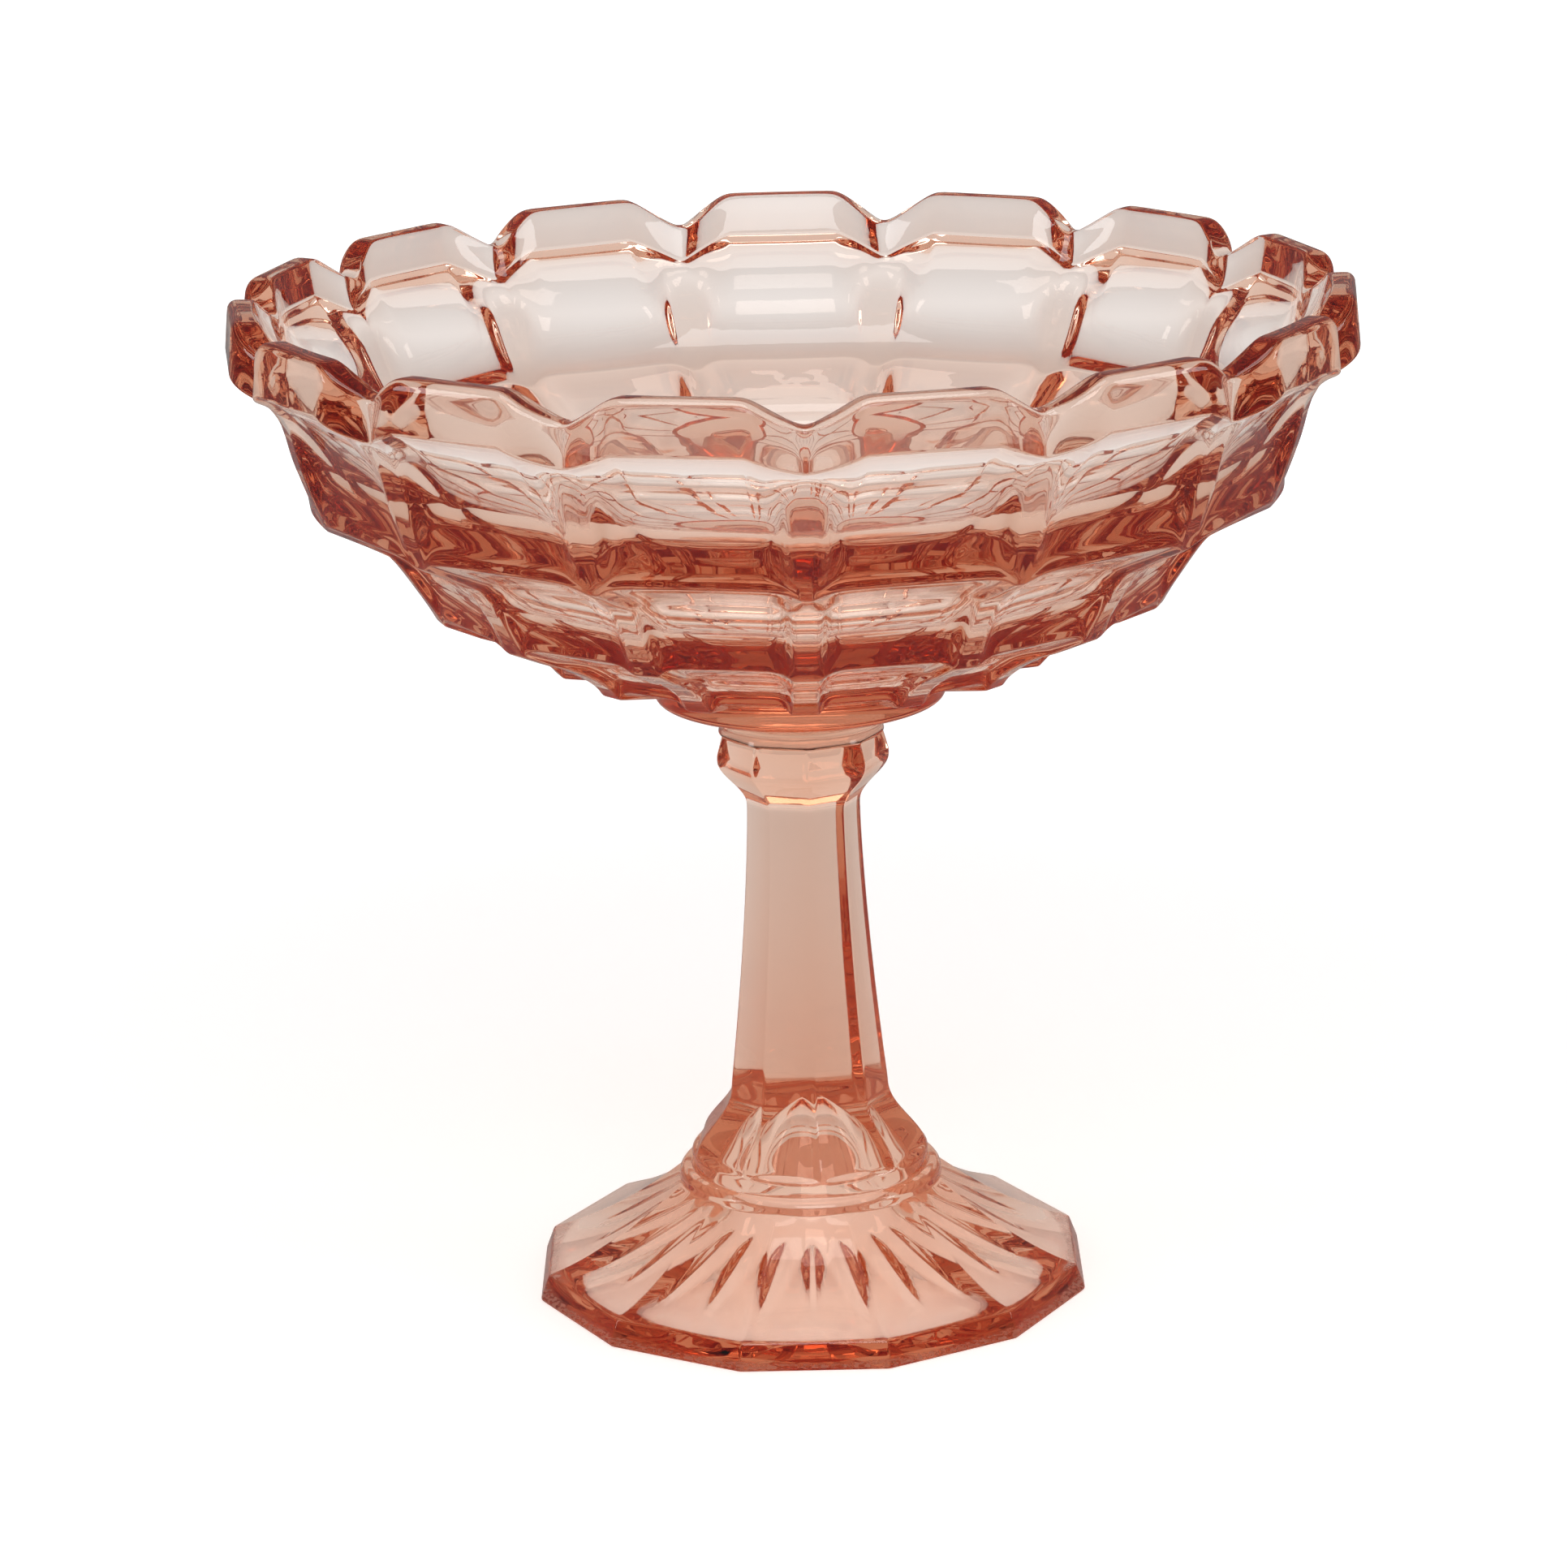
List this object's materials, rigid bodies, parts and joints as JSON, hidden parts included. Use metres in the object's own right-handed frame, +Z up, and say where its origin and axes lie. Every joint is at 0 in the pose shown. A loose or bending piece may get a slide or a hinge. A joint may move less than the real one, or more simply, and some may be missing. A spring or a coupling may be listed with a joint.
{
  "type": "footed compote bowl",
  "caption": "Pressed pink glass compote: a wide lobed and stepped bowl joined by a hot glass wafer to a faceted stem on a spreading faceted foot.",
  "frame": {"origin": "on the table, at the middle of the foot's resting ring", "axes": "+Z up the axis of the stem, towards the bowl's mouth; -Y faces the front"},
  "size_m": [0.2163, 0.2155, 0.1999],
  "materials": {
    "bowl_glass": "clear pink pressed glass, fire polished",
    "wafer_glass": "clear pink glass, joined hot",
    "standard_glass": "clear pink pressed glass, fire polished"
  },
  "bodies": {
    "root": {"bowl": "bowl_glass", "joining_wafer": "wafer_glass", "stem_and_foot": "standard_glass"}
  },
  "joints": []
}
